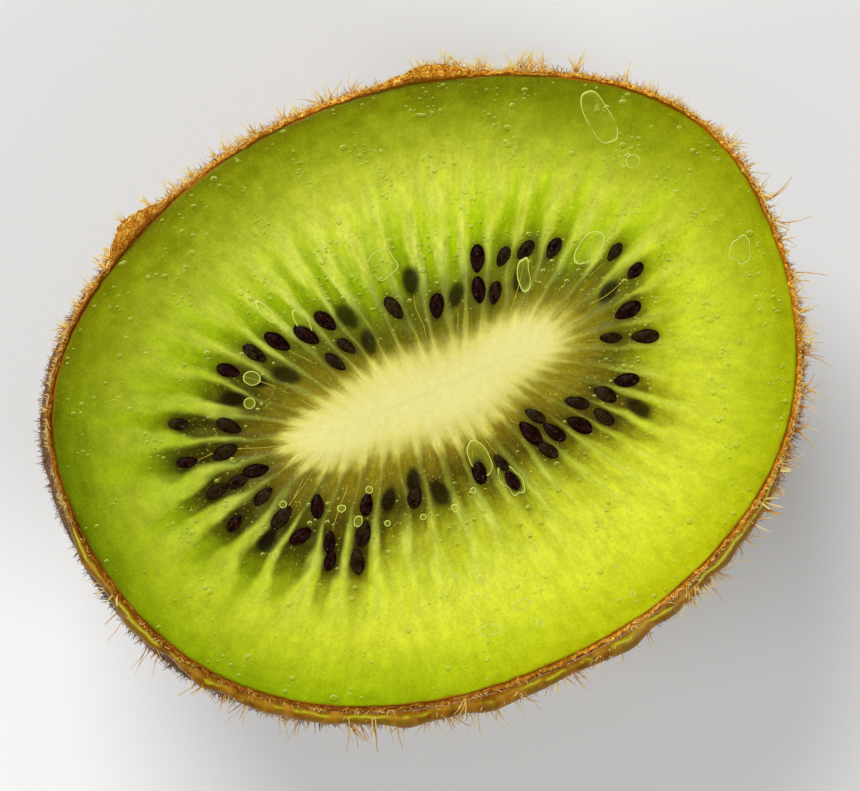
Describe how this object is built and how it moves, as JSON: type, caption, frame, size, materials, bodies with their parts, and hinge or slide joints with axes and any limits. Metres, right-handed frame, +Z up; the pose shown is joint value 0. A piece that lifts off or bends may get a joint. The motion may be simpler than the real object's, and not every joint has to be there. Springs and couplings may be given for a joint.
{
  "type": "kiwi fruit half",
  "caption": "Half of a kiwi fruit cut across: green flesh with a pale oval core, a ring of dark seeds and hairy brown skin, resting on its end.",
  "frame": {"origin": "under the middle of the fruit's box, on the surface it stands on", "axes": "+X along the longer way of the oval cut face, +Y along its shorter way, +Z up, out of the cut face"},
  "size_m": [0.0592, 0.0476, 0.0348],
  "materials": {
    "flesh": "moist green flesh with a pale core and dark seeds",
    "skin": "rough brown skin with short golden hairs",
    "seed": "glossy near-black seed coat",
    "juice": "clear wet juice"
  },
  "bodies": {
    "root": {"kiwi_half": "flesh"}
  },
  "joints": []
}
